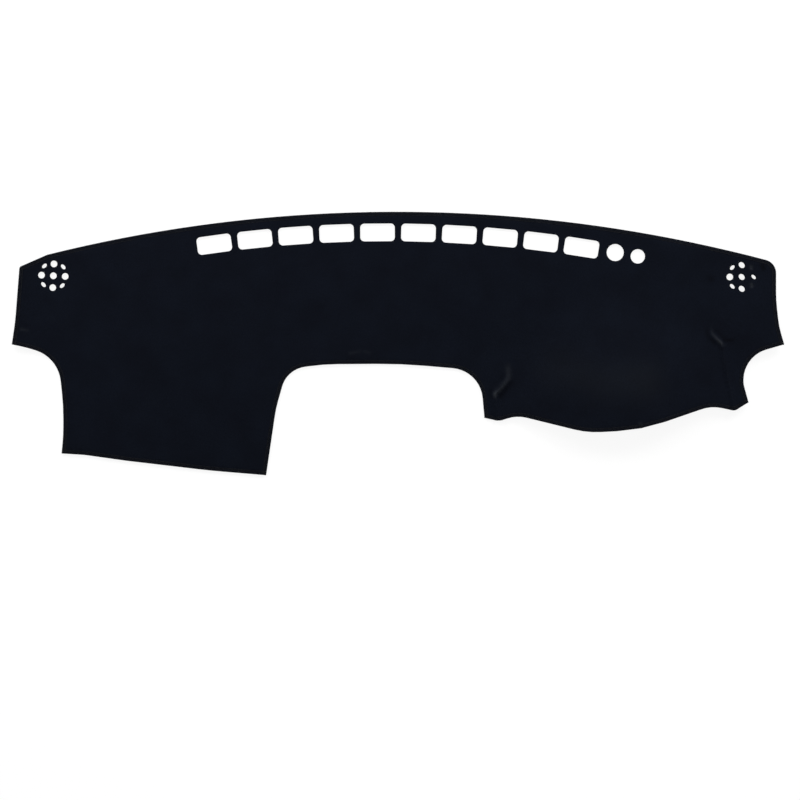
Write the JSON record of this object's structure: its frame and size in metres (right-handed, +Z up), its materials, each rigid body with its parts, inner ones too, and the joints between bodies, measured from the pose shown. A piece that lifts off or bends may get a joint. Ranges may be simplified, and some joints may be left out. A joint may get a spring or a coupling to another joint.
{
  "type": "dashboard cover mat",
  "caption": "Die-cut felt mat that covers a car's dashboard top, with cut-outs for vents, sensors, tweeters and screen, and a darted dome over the instruments.",
  "frame": {"origin": "under the middle of the mat's box, on the surface that it lies on", "axes": "+X to the driver's side along the mat, +Y towards the windscreen, +Z up"},
  "size_m": [1.42, 0.4844, 0.036],
  "materials": {
    "felt": "matt needle-punched felt, near black"
  },
  "bodies": {
    "root": {"felt_mat": "felt"}
  },
  "joints": []
}
